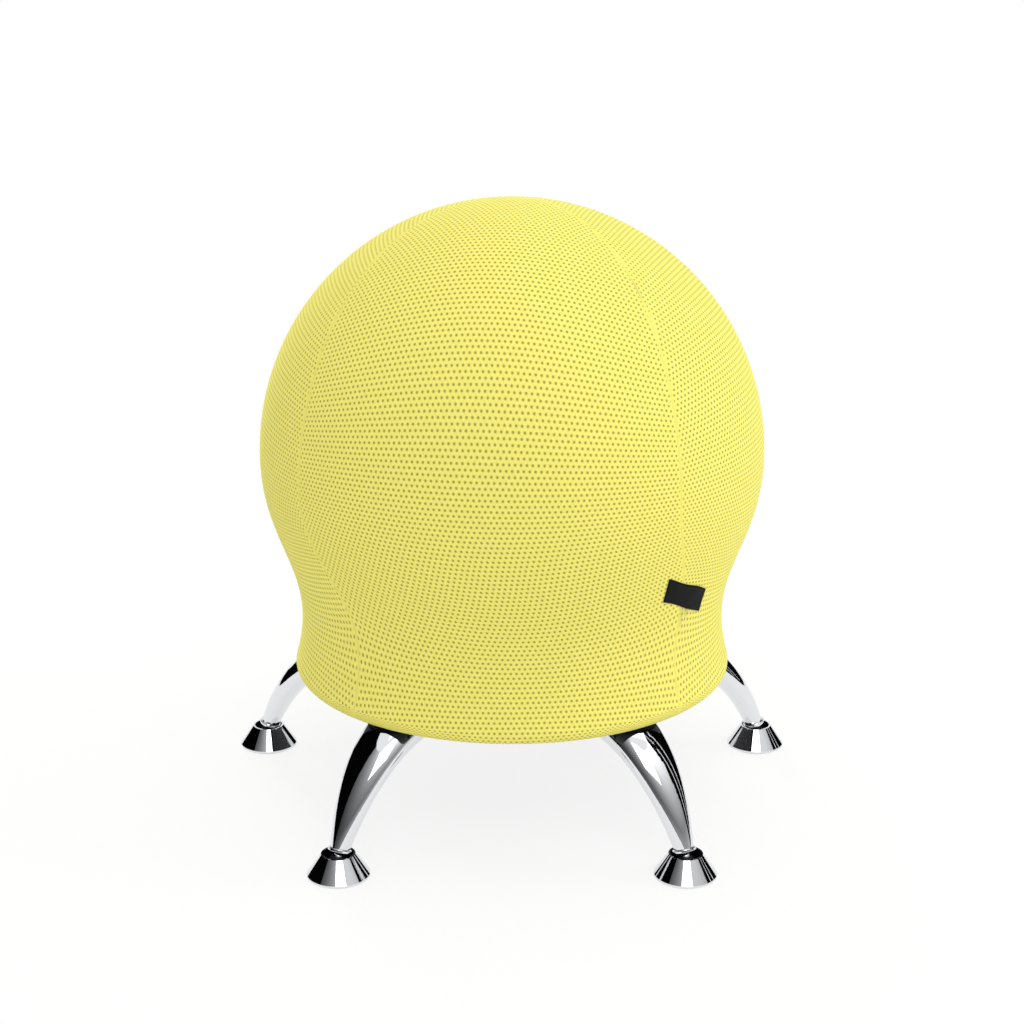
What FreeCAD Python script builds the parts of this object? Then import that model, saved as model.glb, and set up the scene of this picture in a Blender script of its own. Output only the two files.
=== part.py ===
# Balance ball chair: an inflated ball in a stretched mesh cover, on a ring base with five horn legs.
# Millimetres. The origin is on the floor at the middle of the footprint, and the front faces -Y.
# Everything is modelled about the ball's upright axis, and moved onto the footprint's middle when written.
import FreeCAD
import Part
import math
import os

V = FreeCAD.Vector
UP = V(0, 0, 1)
OUT = V(1, 0, 0)

# Ball
ball_radius = 240.0
ball_settle = 24.1  # the lower half is this much flatter than a true sphere
ball_patch_radius = 25.0  # flat patch that rests on the pan
ball_wall = 1.5

# Valve of the ball
valve_height = 200.0
valve_azimuth = 126.0
valve_bore_radius = 4.3
valve_seat_radius = 7.0
valve_seat_depth = 14.0
valve_flange_radius = 14.0
valve_flange_thickness = 1.5
valve_plug_length = 15.0
valve_head_radius = 8.0
valve_head_thickness = 1.6
valve_grip_height = 4.0

# Fabric
mesh_thickness = 1.3
mesh_gap = 0.5  # between the ball and the mesh over the crown
skirt_flare = 15.4  # degrees outward where the skirt meets the ring
skirt_upper_pull = 85.0  # how far the skirt keeps straight below the equator
skirt_lower_pull = 98.0  # and above the ring
skirt_knots = 12
hem_reach = 21.0  # how far the hem turns in below the tube
fabric_clearance = 0.3

# Base ring and pan
deck_height = 125.3  # underside of the pan above the floor
ring_radius = 203.0
ring_tube_radius = 8.7
ring_tube_wall = 1.5
pan_thickness = 2.5
pan_rim_height = 14.0
pan_bend_radius = 5.0
pan_centre_hole_radius = 20.0
pan_window_radius = 25.0
pan_window_circle = 104.0
weld_clearance = 0.3

# Legs
leg_count = 5
leg_root_radius = 157.5
leg_root_slope = 83.5  # degrees from straight down
leg_root_pull = 42.1
leg_root_depth = 22.7  # half depth, in the upright plane of the leg
leg_root_breadth = 27.9  # half breadth, across it
leg_waist_depth = 14.6
leg_waist_breadth = 28.8
leg_end_radius = 9.35
leg_end_pull = 65.2
leg_wall = 2.0
leg_solid_end = 24.0  # drawn end that holds the insert
leg_sections = 9
cavity_sections = 7

# Mounting flange of a leg
flange_thickness = 3.0
flange_ear_radius = 10.0
flange_toe_radius = 13.0
bolt_radius = 4.0
bolt_length = 16.0
bolt_hole_radius = 4.3
bolt_head_radius = 7.0
bolt_head_height = 4.4
bolt_head_rim = 1.3
bolt_shoulder_radius = 6.2
bolt_shoulder_drop = 3.2
bolt_crown_radius = 4.2
bolt_socket_flats = 5.0
washer_radius = 8.0
washer_thickness = 1.6
nut_flats = 13.0
nut_height = 6.5
spanner_room = 2.1  # between a bolt's head and the leg
ear_bolt_reach = 9.0
inner_bolt_setback = 10.5
toe_bolt_reach = 31.5

# Levelling foot
foot_circle_radius = 268.7
foot_lean = 21.5  # degrees between the stem and the upright
foot_ball_radius = 5.0
foot_ball_height = 18.1
neck_radius = 3.0
collar_radius = 11.0
collar_thickness = 3.0
collar_rise = 5.0  # from the ball's centre up to the collar
stem_radius = 4.0
stem_length = 27.0
insert_length = 16.0
insert_radius = 7.3
running_clearance = 0.05
cup_radius = 28.95
cup_height = 22.0
cup_mouth_radius = 15.7
cup_rim_height = 2.0
cup_wall = 1.4
cup_floor_gap = 0.8
pad_thickness = 2.0
socket_floor = 2.5
socket_foot_radius = 9.5
socket_neck_radius = 7.5
socket_lip_height = 1.8
socket_lip_wall = 0.5
socket_rib_count = 6
socket_rib_thickness = 1.6
socket_rib_height = 6.0

# Zip below the skirt
zip_azimuth = 126.0
zip_half_angle = 24.0
zip_radius = 188.0
zip_tape_width = 9.0
zip_tape_thickness = 0.6
zip_coil_width = 3.0
zip_coil_height = 1.2
zip_end_stop = 2.2  # degrees between the slider at rest and the end of the tape
slider_length = 12.0
slider_width = 8.0
slider_height = 3.4
slider_clearance = 0.2
slider_corner_radius = 1.2
slider_ear_thickness = 0.9
slider_ear_root = 0.5  # how deep the ears run into the slider
pull_length = 16.0
pull_width = 6.0
pull_thickness = 1.4
pull_pin_radius = 0.8
pull_eye_radius = 2.4

# Sewn tag on the right-hand seam
tag_azimuth = -43.1
tag_height = 245.2
tag_length = 68.0
tag_breadth = 23.0
tag_thickness = 0.7
tag_lift = 0.2
tag_turn = -23.0

cut_margin = 1.0  # how far a cutting solid runs past the face it opens

# Levels and places that follow from the sizes above
pan_top = deck_height + pan_thickness
ring_level = deck_height + ring_tube_radius
ball_half_depth = ball_radius - ball_settle
ball_level = pan_top + ball_half_depth * math.sqrt(1 - (ball_patch_radius / ball_radius) ** 2)
cover_radius = ball_radius + mesh_gap + mesh_thickness
hem_bend_radius = ring_tube_radius + fabric_clearance + mesh_thickness
hem_bottom = ring_level - hem_bend_radius
panel_thickness = deck_height - hem_bottom  # the panel lies level with the hem
flange_bottom = hem_bottom - flange_thickness
panel_radius = ring_radius - hem_reach / 2 - fabric_clearance
leg_azimuths = [-126 + 360 / leg_count * n for n in range(leg_count)]
bolt_side = leg_root_breadth + bolt_head_radius + spanner_room
ear_reach = leg_root_radius + ear_bolt_reach
toe_reach = leg_root_radius + toe_bolt_reach
bolt_points = [
    (ear_reach, bolt_side),
    (ear_reach, -bolt_side),
    (leg_root_radius - inner_bolt_setback, 0),
]
collar_top = collar_rise + collar_thickness
leg_sines = [math.sin(math.radians(azimuth)) for azimuth in leg_azimuths]
axis_setback = foot_circle_radius * (max(leg_sines) + min(leg_sines)) / 2


def unit(degrees):
    """Unit vector in the radial plane, measured from straight down towards the outside."""
    angle = math.radians(degrees)
    return V(math.sin(angle), 0, -math.cos(angle))


foot_centre = V(foot_circle_radius, 0, foot_ball_height)
stem_down = unit(foot_lean)
leg_end = foot_centre - stem_down * collar_top


def spun(edges):
    """Solid of revolution about Z from the edges of one closed half section."""
    face = Part.Face(Part.Wire(edges))
    return face.revolve(V(0, 0, 0), UP, 360)


def lines(points, closed=False):
    """Straight edges through points given as (radius, height)."""
    places = [V(r, 0, z) for r, z in points]
    if closed:
        places.append(places[0])
    return [Part.makeLine(a, b) for a, b in zip(places, places[1:])]


def turned(shape, azimuth):
    """The shape modelled along +X, moved round to an azimuth."""
    copy = shape.copy()
    copy.rotate(V(0, 0, 0), UP, azimuth)
    return copy


def prism(flats, height, base):
    """Hexagonal prism with the given width across flats, standing on base."""
    corner = flats / math.sqrt(3)
    ring = [base + V(corner, 0, 0)]
    for n in range(1, 7):
        angle = math.radians(60 * n)
        ring.append(base + V(corner * math.cos(angle), corner * math.sin(angle), 0))
    ring[-1] = ring[0]
    return Part.Face(Part.makePolygon(ring)).extrude(UP * height)


# Ball and valve


def ball_outline(inset):
    """Edges of the ball's half section: a round crown, a flatter lower half and the patch it rests on."""
    radius = ball_radius - inset
    half_depth = ball_half_depth - inset
    floor = pan_top + inset
    centre = V(0, 0, ball_level)
    top = V(0, 0, ball_level + radius)
    side = V(radius, 0, ball_level)
    shoulder = centre + V(radius, 0, radius) * math.sqrt(0.5)
    shoulder.y = 0
    crown = Part.Arc(top, shoulder, side).toShape()
    patch = radius * math.sqrt(1 - ((ball_level - floor) / half_depth) ** 2)
    stop = V(patch, 0, floor)
    ellipse = Part.Ellipse(side, centre - V(0, 0, half_depth), centre)
    first = ellipse.parameter(side)
    last = ellipse.parameter(stop)
    lower = Part.ArcOfEllipse(ellipse, *sorted((first, last))).toShape()
    base = Part.makeLine(stop, V(0, 0, floor))
    axis = Part.makeLine(V(0, 0, floor), top)
    return [crown, lower, base, axis]


def valve_frame():
    """Point on the ball's skin at the valve, and the outward direction there."""
    drop = ball_level - valve_height
    radius = ball_radius * math.sqrt(1 - (drop / ball_half_depth) ** 2)
    out = V(radius / ball_radius**2, 0, -drop / ball_half_depth**2)
    out.normalize()
    return V(radius, 0, valve_height), out


def make_ball():
    shell = spun(ball_outline(0)).cut(spun(ball_outline(ball_wall)))
    place, out = valve_frame()
    start = place - out * 3 * ball_wall
    hole = Part.makeCylinder(valve_seat_radius + running_clearance, 4 * ball_wall, start, out)
    return shell.cut(turned(hole, valve_azimuth))


def make_valve_seat():
    place, out = valve_frame()
    tube = Part.makeCylinder(valve_seat_radius, valve_seat_depth, place - out * valve_seat_depth, out)
    sag = valve_flange_radius**2 / (2 * ball_half_depth)
    shelf = ball_wall + sag + running_clearance
    flange = Part.makeCylinder(
        valve_flange_radius,
        valve_flange_thickness,
        place - out * (shelf + valve_flange_thickness),
        out,
    )
    bore = Part.makeCylinder(valve_bore_radius, valve_seat_depth, place - out * valve_seat_depth, out)
    return turned(tube.fuse(flange).cut(bore).removeSplitter(), valve_azimuth)


def make_valve_plug():
    place, out = valve_frame()
    tip = place - out * valve_plug_length
    shank_radius = valve_bore_radius - running_clearance
    shank = Part.makeCylinder(shank_radius, valve_plug_length, tip, out)
    head = Part.makeCylinder(valve_head_radius, valve_head_thickness, place + out * running_clearance, out)
    corner = V(-valve_head_radius / 2, -valve_head_thickness / 2, 0)
    grip = Part.makeBox(valve_head_radius, valve_head_thickness, valve_grip_height, corner)
    leaning = FreeCAD.Placement(place + out * valve_head_thickness, FreeCAD.Rotation(UP, out))
    grip.Placement = leaning.multiply(grip.Placement)
    bridge = Part.makeCylinder(shank_radius, valve_head_thickness, place, out)
    return turned(shank.fuse([head, grip, bridge]).removeSplitter(), valve_azimuth)


# Mesh cover


def skirt_curve(inset):
    """The cover's side from the equator down to the ring, moved inward by inset."""
    start = V(cover_radius, 0, ball_level)
    flare = math.radians(skirt_flare)
    falling = V(0, 0, -1)
    flaring = V(math.sin(flare), 0, -math.cos(flare))
    end = V(ring_radius, 0, ring_level) + V(math.cos(flare), 0, math.sin(flare)) * hem_bend_radius
    bezier = Part.BezierCurve()
    bezier.setPoles([start, start + falling * skirt_upper_pull, end - flaring * skirt_lower_pull, end])
    points = []
    for n in range(skirt_knots + 1):
        place = bezier.value(n / skirt_knots)
        along = bezier.tangent(n / skirt_knots)[0]
        inward = V(along.z, 0, -along.x)
        points.append(place + inward * inset)
    curve = Part.BSplineCurve()
    curve.interpolate(Points=points, InitialTangent=falling, FinalTangent=flaring)
    return curve.toShape(), points[0], points[-1]


def cover_path(inset):
    """Edges of the cover's face from the crown to the hem's inner edge, and the two ends."""
    side, equator, meeting = skirt_curve(inset)
    radius = cover_radius - inset
    crown_top = V(0, 0, ball_level + radius)
    shoulder = V(radius * math.sqrt(0.5), 0, ball_level + radius * math.sqrt(0.5))
    crown = Part.Arc(crown_top, shoulder, equator).toShape()
    bend = hem_bend_radius - inset
    middle = math.radians((skirt_flare - 90) / 2)
    belly = V(ring_radius + bend * math.cos(middle), 0, ring_level + bend * math.sin(middle))
    below = V(ring_radius, 0, ring_level - bend)
    hem_bend = Part.Arc(meeting, belly, below).toShape()
    hem_end = V(ring_radius - hem_reach / 2, 0, ring_level - bend)
    hem = Part.makeLine(below, hem_end)
    return [crown, side, hem_bend, hem], crown_top, hem_end


def cover_skin(outer_inset, inner_inset):
    """Solid skin between two faces of the cover."""
    outer, outer_top, outer_end = cover_path(outer_inset)
    inner, inner_top, inner_end = cover_path(inner_inset)
    closing = Part.makeLine(outer_end, inner_end)
    axis = Part.makeLine(inner_top, outer_top)
    return spun(outer + [closing] + list(reversed(inner)) + [axis])


def make_mesh_cover():
    return cover_skin(0, mesh_thickness)


def make_side_tag():
    """Small patch that lies on the cover across the right-hand seam."""
    skin = cover_skin(-tag_lift - tag_thickness, -tag_lift)
    block = Part.makeBox(cover_radius, tag_length, tag_breadth, V(0, -tag_length / 2, -tag_breadth / 2))
    block.rotate(V(0, 0, 0), V(1, 0, 0), tag_turn)
    block.translate(V(0, 0, tag_height))
    return skin.common(turned(block, tag_azimuth))


def make_bottom_panel():
    """Fabric disc below the pan, with a hole for every bolt."""
    disc = Part.makeCylinder(panel_radius, panel_thickness, V(0, 0, hem_bottom))
    return disc.cut(bolt_holes(hem_bottom, panel_thickness))


# Base


def bolt_holes(base, height):
    """Cylinders through a plate at every bolt's place."""
    holes = []
    for azimuth in leg_azimuths:
        for r, side in bolt_points:
            place = V(r, side, base - cut_margin)
            hole = Part.makeCylinder(bolt_hole_radius, height + 2 * cut_margin, place)
            holes.append(turned(hole, azimuth))
    return Part.makeCompound(holes)


def make_base_ring():
    tube = Part.makeTorus(ring_radius, ring_tube_radius, V(0, 0, ring_level), UP)
    bore = Part.makeTorus(ring_radius, ring_tube_radius - ring_tube_wall, V(0, 0, ring_level), UP)
    return tube.cut(bore)


def make_base_pan():
    """Pressed pan with a turned-up rim that nests in the ring, lightened by round windows."""
    rim = ring_radius - ring_tube_radius - weld_clearance
    inner_bend = pan_bend_radius - pan_thickness
    top = deck_height + pan_rim_height
    corner = V(rim - pan_bend_radius, 0, deck_height + pan_bend_radius)
    slant = V(math.sqrt(0.5), 0, -math.sqrt(0.5))
    inner_rim = rim - pan_thickness
    edges = lines([(pan_centre_hole_radius, deck_height), (corner.x, deck_height)])
    outer_bend = Part.Arc(V(corner.x, 0, deck_height), corner + slant * pan_bend_radius, V(rim, 0, corner.z))
    edges.append(outer_bend.toShape())
    edges += lines([(rim, corner.z), (rim, top), (inner_rim, top), (inner_rim, corner.z)])
    bend = Part.Arc(V(inner_rim, 0, corner.z), corner + slant * inner_bend, V(corner.x, 0, pan_top))
    edges.append(bend.toShape())
    hole = pan_centre_hole_radius
    edges += lines([(corner.x, pan_top), (hole, pan_top), (hole, deck_height)])
    windows = []
    for azimuth in leg_azimuths:
        place = V(pan_window_circle, 0, deck_height - cut_margin)
        window = Part.makeCylinder(pan_window_radius, pan_thickness + 2 * cut_margin, place)
        windows.append(turned(window, azimuth + 180 / leg_count))
    pressed = spun(edges).cut(Part.makeCompound(windows))
    return pressed.cut(bolt_holes(deck_height, pan_thickness))


# Legs


def leg_curve():
    """Centre line of a leg in its own upright plane."""
    root = V(leg_root_radius, 0, flange_bottom)
    curve = Part.BezierCurve()
    curve.setPoles(
        [root, root + unit(leg_root_slope) * leg_root_pull, leg_end - stem_down * leg_end_pull, leg_end]
    )
    return curve


def leg_section(curve, t, inset):
    """Oval across the leg at parameter t, drawn in from its skin by inset."""
    root, waist, end = (1 - t) ** 2, 2 * t * (1 - t), t**2
    depth = root * leg_root_depth + waist * leg_waist_depth + end * leg_end_radius - inset
    breadth = root * leg_root_breadth + waist * leg_waist_breadth + end * leg_end_radius - inset
    place = curve.value(t)
    along = curve.tangent(t)[0]
    across = V(0, 1, 0)
    lift = along.cross(across)
    matrix = FreeCAD.Matrix(
        lift.x * depth, across.x * breadth, along.x, place.x,
        lift.y * depth, across.y * breadth, along.y, place.y,
        lift.z * depth, across.z * breadth, along.z, place.z,
    )
    return Part.Wire(Part.makeCircle(1).transformGeometry(matrix).Edges)


def leg_body(first, last, inset, sections):
    """Smooth horn between two parameters of the centre line."""
    curve = leg_curve()
    wires = []
    for n in range(sections):
        t = first + (last - first) * n / (sections - 1)
        wires.append(leg_section(curve, t, inset))
    return Part.makeLoft(wires, True, False)


def make_leg():
    """Tapered tube with a flat top under its flange, a closed inner end and a bored foot end."""
    curve = leg_curve()
    length = curve.length()
    cavity_start = curve.parameterAtDistance(leg_wall, 0)
    cavity_end = curve.parameterAtDistance(length - leg_solid_end, 0)
    reach = 3 * leg_root_breadth
    above = Part.makeBox(reach, reach, reach, V(leg_root_radius - reach / 4, -reach / 2, flange_bottom))
    roof = above.copy()
    roof.translate(V(0, 0, -leg_wall))
    cavity = leg_body(cavity_start, cavity_end, leg_wall, cavity_sections).cut(roof)
    bore_radius = insert_radius + running_clearance
    bore_start = leg_end + stem_down * cut_margin
    bore = Part.makeCylinder(bore_radius, leg_solid_end + cut_margin, bore_start, stem_down * -1)
    return leg_body(0, 1, 0, leg_sections).cut(above).cut(cavity).cut(bore)


def flange_outline():
    """Plate outline: straight flanks between round ears, an inner lobe and a toe, as a hull of discs."""
    discs = [(r, side, flange_ear_radius) for r, side in bolt_points]
    discs.append((toe_reach, 0, flange_toe_radius))
    order = [discs[3], discs[0], discs[2], discs[1]]
    faces = []
    for (r1, s1, e1), (r2, s2, e2) in zip(order, order[1:] + order[:1]):
        gap = math.hypot(r2 - r1, s2 - s1)
        heading = math.atan2(s2 - s1, r2 - r1)
        open_angle = math.acos((e1 - e2) / gap)
        touch = V(math.cos(heading - open_angle), math.sin(heading - open_angle), 0)
        a, b = V(r1, s1, 0), V(r2, s2, 0)
        middle = V(leg_root_radius, 0, 0)
        faces.append(Part.Face(Part.makePolygon([middle, a, a + touch * e1, b + touch * e2, b, middle])))
        faces.append(Part.Face(Part.Wire(Part.makeCircle(e1, a))))
    return faces[0].fuse(faces[1:]).removeSplitter()


def make_leg_flange():
    plate = flange_outline().extrude(UP * flange_thickness)
    plate.translate(V(0, 0, flange_bottom))
    for r, side in bolt_points:
        place = V(r, side, flange_bottom - cut_margin)
        plate = plate.cut(Part.makeCylinder(bolt_hole_radius, flange_thickness + 2 * cut_margin, place))
    return plate.removeSplitter()


def make_leg_bolt(r, side):
    """Round-headed bolt with a socket, put in from below."""
    seat = flange_bottom - washer_thickness
    shank = Part.makeCylinder(bolt_radius, bolt_length, V(r, side, seat))
    top = seat - bolt_head_height
    edges = lines([(0, seat), (bolt_head_radius, seat), (bolt_head_radius, seat - bolt_head_rim)])
    start = V(bolt_head_radius, 0, seat - bolt_head_rim)
    shoulder = V(bolt_shoulder_radius, 0, seat - bolt_shoulder_drop)
    edges.append(Part.Arc(start, shoulder, V(bolt_crown_radius, 0, top)).toShape())
    edges += lines([(bolt_crown_radius, top), (0, top), (0, seat)])
    head = spun(edges)
    head.translate(V(r, side, 0))
    socket = prism(bolt_socket_flats, bolt_head_height / 2, V(r, side, top))
    return shank.fuse(head).removeSplitter().cut(socket)


def make_leg_washer(r, side):
    base = V(r, side, flange_bottom - washer_thickness)
    disc = Part.makeCylinder(washer_radius, washer_thickness, base)
    return disc.cut(Part.makeCylinder(bolt_radius + running_clearance, washer_thickness, base))


def make_weld_nut(r, side):
    base = V(r, side, pan_top)
    body = prism(nut_flats, nut_height, base)
    return body.cut(Part.makeCylinder(bolt_radius + running_clearance, nut_height, base))


def at_every_bolt(make_one):
    """One fastener at each bolt's place, as a group of separate solids."""
    group = []
    for azimuth in leg_azimuths:
        for r, side in bolt_points:
            group.append(turned(make_one(r, side), azimuth))
    return Part.makeCompound(group)


# Levelling foot


def along_stem(distance):
    """Point on the stem's axis, at a distance up from the ball's centre."""
    return foot_centre - stem_down * distance


def make_leg_insert():
    """Threaded plug that the leg's drawn end holds."""
    body = Part.makeCylinder(insert_radius, insert_length, leg_end, stem_down * -1)
    bore = Part.makeCylinder(stem_radius + running_clearance, insert_length, leg_end, stem_down * -1)
    return body.cut(bore)


def make_foot_stem():
    """Threaded stem with a collar for turning it and a ball at its lower end."""
    ball = Part.makeSphere(foot_ball_radius, foot_centre)
    neck = Part.makeCylinder(neck_radius, collar_rise, foot_centre, stem_down * -1)
    collar = Part.makeCylinder(collar_radius, collar_thickness, along_stem(collar_rise), stem_down * -1)
    collar = collar.makeFillet(collar_thickness / 4, [e for e in collar.Edges if e.Closed])
    shank = Part.makeCylinder(stem_radius, stem_length, along_stem(collar_rise), stem_down * -1)
    return ball.fuse([neck, collar, shank]).removeSplitter()


def cone_radius(height):
    """Radius of the cup's outer face at a height on its slope."""
    share = (height - cup_floor_gap - cup_rim_height) / (cup_height - cup_floor_gap - cup_rim_height)
    return cup_radius + (cup_mouth_radius - cup_radius) * share


def foot_placed(shape):
    shape.translate(V(foot_circle_radius, 0, 0))
    return shape


slope = math.atan2(cup_radius - cup_mouth_radius, cup_height - cup_floor_gap - cup_rim_height)
cup_wall_across = cup_wall / math.cos(slope)
cup_knee = cup_floor_gap + cup_rim_height - cup_wall * math.tan(slope / 2)


def make_foot_cup():
    """Spun cone with a short upright rim."""
    outline = lines(
        [
            (cup_radius - cup_wall, cup_floor_gap),
            (cup_radius, cup_floor_gap),
            (cup_radius, cup_floor_gap + cup_rim_height),
            (cup_mouth_radius, cup_height),
            (cup_mouth_radius - cup_wall_across, cup_height),
            (cup_radius - cup_wall, cup_knee),
        ],
        closed=True,
    )
    return foot_placed(spun(outline))


def make_foot_socket():
    """Moulded insert inside the cup: a floor, a ribbed post and the socket that holds the stem's ball."""
    floor_top = pad_thickness + socket_floor
    edge = cup_radius - cup_wall - running_clearance
    edge_top = cone_radius(floor_top) - cup_wall_across - 2 * running_clearance
    cavity_radius = foot_ball_radius + running_clearance
    lip = math.sqrt(cavity_radius**2 - socket_lip_height**2) + socket_lip_wall
    outline = lines(
        [
            (0, pad_thickness),
            (edge_top, pad_thickness),
            (edge_top, floor_top),
            (socket_foot_radius, floor_top),
            (socket_neck_radius, foot_ball_height),
            (lip, foot_ball_height + socket_lip_height),
            (0, foot_ball_height + socket_lip_height),
        ],
        closed=True,
    )
    body = spun(outline)
    rib_reach = cone_radius(floor_top + socket_rib_height) - cup_wall_across - 4 * running_clearance
    for n in range(socket_rib_count):
        rib = Part.makeBox(
            rib_reach - socket_neck_radius,
            socket_rib_thickness,
            socket_rib_height + socket_floor / 2,
            V(socket_neck_radius, -socket_rib_thickness / 2, floor_top - socket_floor / 2),
        )
        body = body.fuse(turned(rib, 360 / socket_rib_count * n))
    body = body.removeSplitter()
    return foot_placed(body.cut(Part.makeSphere(cavity_radius, V(0, 0, foot_ball_height))))


def make_foot_pad():
    radius = cup_radius - cup_wall - running_clearance
    return foot_placed(Part.makeCylinder(radius, pad_thickness))


# Zip

zip_tape_top = hem_bottom - slider_clearance
zip_tape_bottom = zip_tape_top - zip_tape_thickness
zip_coil_bottom = zip_tape_bottom - zip_coil_height
slider_top = zip_tape_bottom - slider_clearance
slider_bottom = slider_top - slider_height
slider_azimuth = zip_azimuth - zip_half_angle + zip_end_stop
pull_pin_height = slider_bottom - pull_eye_radius


def arc_strip(width, height, base, half_angle):
    """Flat strip that follows the zip's circle."""
    inner, outer, top = zip_radius - width / 2, zip_radius + width / 2, base + height
    edges = lines([(inner, base), (outer, base), (outer, top), (inner, top)], closed=True)
    strip = Part.Face(Part.Wire(edges)).revolve(V(0, 0, 0), UP, 2 * half_angle)
    return turned(strip, zip_azimuth - half_angle)


def make_zip_tape():
    return arc_strip(zip_tape_width, zip_tape_thickness, zip_tape_bottom, zip_half_angle)


def make_zip_coil():
    return arc_strip(zip_coil_width, zip_coil_height, zip_coil_bottom, zip_half_angle)


def make_zip_slider():
    """Slider with a channel for the coil and two ears that carry the pull's pin."""
    corner = V(zip_radius - slider_width / 2, -slider_length / 2, slider_bottom)
    body = Part.makeBox(slider_width, slider_length, slider_height, corner)
    upright = [e for e in body.Edges if abs(e.tangentAt(e.FirstParameter).z) > 0.9]
    body = body.makeFillet(slider_corner_radius, upright)
    swell = slider_length**2 / (8 * zip_radius)
    channel_width = zip_coil_width + 2 * (slider_clearance + swell)
    channel_depth = slider_top - zip_coil_bottom + slider_clearance
    corner = V(zip_radius - channel_width / 2, -slider_length, slider_top - channel_depth)
    channel = Part.makeBox(channel_width, 2 * slider_length, channel_depth + cut_margin, corner)
    body = body.cut(channel)
    ear_inner = pull_width / 2 + slider_clearance
    web_height = slider_bottom + slider_ear_root - pull_pin_height
    for ear_start in (zip_radius + ear_inner, zip_radius - ear_inner - slider_ear_thickness):
        ear = Part.makeCylinder(pull_eye_radius, slider_ear_thickness, V(ear_start, 0, pull_pin_height), OUT)
        corner = V(ear_start, -pull_eye_radius, pull_pin_height)
        web = Part.makeBox(slider_ear_thickness, 2 * pull_eye_radius, web_height, corner)
        body = body.fuse([ear, web])
    pin_start = V(zip_radius - ear_inner - slider_ear_thickness / 2, 0, pull_pin_height)
    pin = Part.makeCylinder(pull_pin_radius, 2 * ear_inner + slider_ear_thickness, pin_start, OUT)
    return turned(body.fuse(pin).removeSplitter(), slider_azimuth)


def make_zip_pull():
    """Flat pull that hangs from the slider's pin."""
    start = V(zip_radius - pull_width / 2, 0, pull_pin_height)
    eye = Part.makeCylinder(pull_eye_radius - slider_clearance, pull_width, start, OUT)
    corner = start - V(0, pull_thickness / 2, pull_length)
    tab = Part.makeBox(pull_width, pull_thickness, pull_length, corner)
    crosswise = [e for e in tab.Edges if abs(e.tangentAt(e.FirstParameter).y) > 0.9]
    lower = [e for e in crosswise if e.CenterOfMass.z < pull_pin_height - pull_eye_radius]
    tab = tab.makeFillet(pull_width / 3, lower)
    hole = Part.makeCylinder(pull_pin_radius + running_clearance, pull_width, start, OUT)
    return turned(eye.fuse(tab).removeSplitter().cut(hole), slider_azimuth)


def write(name, shape):
    """One node's file, moved so that the footprint's middle is at the origin."""
    shape.translate(V(0, -axis_setback, 0))
    shape.exportStep(os.path.join("parts", name + ".step"))


os.makedirs("parts", exist_ok=True)
write("ball", make_ball())
write("valve_seat", make_valve_seat())
write("valve_plug", make_valve_plug())
write("mesh_cover", make_mesh_cover())
write("side_tag", make_side_tag())
write("bottom_panel", make_bottom_panel())
write("base_ring", make_base_ring())
write("base_pan", make_base_pan())
write("weld_nuts", at_every_bolt(make_weld_nut))
write("leg_bolts", at_every_bolt(make_leg_bolt))
write("leg_washers", at_every_bolt(make_leg_washer))
write("zip_tape", make_zip_tape())
write("zip_coil", make_zip_coil())
write("zip_slider", make_zip_slider())
write("zip_pull", make_zip_pull())
leg_set = {
    "leg": make_leg(),
    "leg_flange": make_leg_flange(),
    "leg_insert": make_leg_insert(),
    "foot_stem": make_foot_stem(),
    "foot_cup": make_foot_cup(),
    "foot_socket": make_foot_socket(),
    "foot_pad": make_foot_pad(),
}
for name, shape in leg_set.items():
    for number, azimuth in enumerate(leg_azimuths, start=1):
        write(name + "_" + str(number), turned(shape, azimuth))
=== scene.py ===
# %% [markdown]
# # A balance ball chair
#
# An inflated ball sits in a stretched mesh cover, on a low steel base with five curved, tapering
# chrome legs and chrome cup feet. The hard pieces are finished in CAD, so they are loaded as they
# are and only get their finish here. The fabric pieces are made here, because cloth needs seams,
# a weave and a little slackness that a CAD solid doesn't have.

# %% Load the CAD frame
import math
import bmesh
import bpy
from mathutils import Euler, Matrix, Vector


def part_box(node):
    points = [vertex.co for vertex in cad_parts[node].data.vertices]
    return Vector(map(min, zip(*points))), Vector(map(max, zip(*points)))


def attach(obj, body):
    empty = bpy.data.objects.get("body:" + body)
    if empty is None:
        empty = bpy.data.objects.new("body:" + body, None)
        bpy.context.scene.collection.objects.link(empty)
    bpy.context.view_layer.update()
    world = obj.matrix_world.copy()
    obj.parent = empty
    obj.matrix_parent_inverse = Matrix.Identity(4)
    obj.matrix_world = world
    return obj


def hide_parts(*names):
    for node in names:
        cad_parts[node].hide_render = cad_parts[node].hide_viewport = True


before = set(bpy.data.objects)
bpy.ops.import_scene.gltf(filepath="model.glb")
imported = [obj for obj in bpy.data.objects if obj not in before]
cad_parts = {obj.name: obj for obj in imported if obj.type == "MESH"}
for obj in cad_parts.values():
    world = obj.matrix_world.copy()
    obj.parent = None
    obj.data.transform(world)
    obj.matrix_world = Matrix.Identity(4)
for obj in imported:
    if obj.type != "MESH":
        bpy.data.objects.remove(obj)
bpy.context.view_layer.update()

scene = bpy.context.scene
MM = 0.001
UNIT_WAVE = 0.314  # one wave of the wave texture is this long at scale 1

# %% [markdown]
# ## Where things are
#
# The cover is round about an upright axis, and its size can be read off the CAD node's box. The
# base ring inside its lower edge gives the rest. Every fabric piece is drawn about that axis, so
# it fits the frame with no adjusting by eye.

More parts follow.
